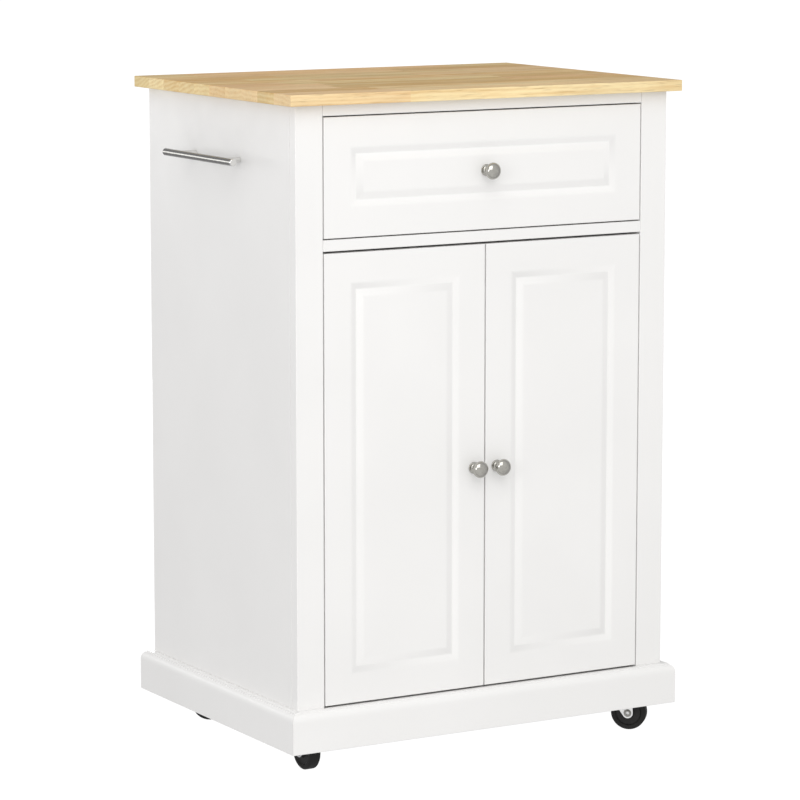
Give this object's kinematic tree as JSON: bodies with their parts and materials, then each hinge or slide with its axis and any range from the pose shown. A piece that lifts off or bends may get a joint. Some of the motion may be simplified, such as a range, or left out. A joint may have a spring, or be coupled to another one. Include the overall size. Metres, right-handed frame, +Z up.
{
  "type": "rolling kitchen cart",
  "caption": "White kitchen cart with a butcher-block worktop, one drawer over two hinged doors, an inner shelf, a side towel bar, a moulded plinth and swivel casters.",
  "frame": {"origin": "on the floor, under the centre of the whole cart's box, with the towel bar and the knobs counted", "axes": "+Z up; the doors and the drawer face -Y; the towel bar is on the -X side"},
  "size_m": [0.6286, 0.4666, 0.9144],
  "materials": {
    "butcher_block": "clear satin lacquer over glued light hardwood staves",
    "white_paint": "satin white paint on fibreboard",
    "white_board": "white melamine-faced board",
    "satin_nickel": "satin nickel plate",
    "stainless_steel": "brushed stainless steel",
    "zinc_plate": "bright zinc plate on pressed steel",
    "caster_tyre": "moulded black rubber"
  },
  "bodies": {
    "cabinet": {"worktop": "butcher_block", "side_panel_left": "white_paint", "side_panel_right": "white_paint", "stile_left": "white_paint", "stile_right": "white_paint", "top_rail": "white_paint", "middle_rail": "white_paint", "plinth_front": "white_paint", "plinth_back": "white_paint", "plinth_left": "white_paint", "plinth_right": "white_paint", "back_panel": "white_board", "bottom_panel": "white_board", "rear_stretcher": "white_board", "shelf": "white_board", "runner_batten_left": "white_board", "runner_batten_right": "white_board", "towel_bar": "stainless_steel", "towel_post_front": "stainless_steel", "towel_post_rear": "stainless_steel", "shelf_pin_front_left": "zinc_plate", "shelf_pin_front_right": "zinc_plate", "shelf_pin_back_left": "zinc_plate", "shelf_pin_back_right": "zinc_plate", "runner_left": "zinc_plate", "runner_right": "zinc_plate", "hinge_arm_left_lower": "zinc_plate", "hinge_arm_left_upper": "zinc_plate", "hinge_arm_right_lower": "zinc_plate", "hinge_arm_right_upper": "zinc_plate", "caster_front_left_plate": "zinc_plate", "caster_front_right_plate": "zinc_plate", "caster_back_left_plate": "zinc_plate", "caster_back_right_plate": "zinc_plate"},
    "drawer": {"drawer_front": "white_paint", "drawer_side_left": "white_board", "drawer_side_right": "white_board", "drawer_back": "white_board", "drawer_bottom": "white_board", "drawer_knob": "satin_nickel", "drawer_runner_left": "zinc_plate", "drawer_runner_right": "zinc_plate"},
    "door_left": {"door_left": "white_paint", "door_knob_left": "satin_nickel", "hinge_cup_left_lower": "zinc_plate", "hinge_cup_left_upper": "zinc_plate"},
    "door_right": {"door_right": "white_paint", "door_knob_right": "satin_nickel", "hinge_cup_right_lower": "zinc_plate", "hinge_cup_right_upper": "zinc_plate"},
    "caster_front_left_swivel": {"caster_front_left_fork": "zinc_plate"},
    "caster_front_left_roller": {"caster_front_left_wheel": "caster_tyre"},
    "caster_front_right_swivel": {"caster_front_right_fork": "zinc_plate"},
    "caster_front_right_roller": {"caster_front_right_wheel": "caster_tyre"},
    "caster_back_left_swivel": {"caster_back_left_fork": "zinc_plate"},
    "caster_back_left_roller": {"caster_back_left_wheel": "caster_tyre"},
    "caster_back_right_swivel": {"caster_back_right_fork": "zinc_plate"},
    "caster_back_right_roller": {"caster_back_right_wheel": "caster_tyre"}
  },
  "joints": [
    {"name": "drawer_slide", "type": "slide", "parent": "cabinet", "child": "drawer", "axis": [0, -1, 0], "range_m": [0, 0.27]},
    {"name": "door_left_hinge", "type": "hinge", "parent": "cabinet", "child": "door_left", "pos_m": [-0.23847, -0.20795, 0.40125], "axis": [0, 0, -1], "range_deg": [0, 110]},
    {"name": "door_right_hinge", "type": "hinge", "parent": "cabinet", "child": "door_right", "pos_m": [0.25653, -0.20795, 0.40125], "axis": [0, 0, 1], "range_deg": [0, 110]},
    {"name": "caster_front_left_turn", "type": "hinge", "parent": "cabinet", "child": "caster_front_left_swivel", "pos_m": [-0.23497, -0.16735, 0.06], "axis": [0, 0, 1], "continuous": true},
    {"name": "caster_front_left_roll", "type": "hinge", "parent": "caster_front_left_swivel", "child": "caster_front_left_roller", "pos_m": [-0.2356, -0.14936, 0.025], "axis": [-0.9994, -0.0349, 0], "continuous": true},
    {"name": "caster_front_right_turn", "type": "hinge", "parent": "cabinet", "child": "caster_front_right_swivel", "pos_m": [0.25302, -0.16735, 0.06], "axis": [0, 0, 1], "continuous": true},
    {"name": "caster_front_right_roll", "type": "hinge", "parent": "caster_front_right_swivel", "child": "caster_front_right_roller", "pos_m": [0.26597, -0.17985, 0.025], "axis": [0.6947, 0.7193, 0], "continuous": true},
    {"name": "caster_back_left_turn", "type": "hinge", "parent": "cabinet", "child": "caster_back_left_swivel", "pos_m": [-0.23497, 0.17665, 0.06], "axis": [0, 0, 1], "continuous": true},
    {"name": "caster_back_left_roll", "type": "hinge", "parent": "caster_back_left_swivel", "child": "caster_back_left_roller", "pos_m": [-0.21908, 0.1682, 0.025], "axis": [0.4695, 0.8829, 0], "continuous": true},
    {"name": "caster_back_right_turn", "type": "hinge", "parent": "cabinet", "child": "caster_back_right_swivel", "pos_m": [0.25302, 0.17665, 0.06], "axis": [0, 0, 1], "continuous": true},
    {"name": "caster_back_right_roll", "type": "hinge", "parent": "caster_back_right_swivel", "child": "caster_back_right_roller", "pos_m": [0.23671, 0.16904, 0.025], "axis": [0.4226, -0.9063, 0], "continuous": true}
  ]
}
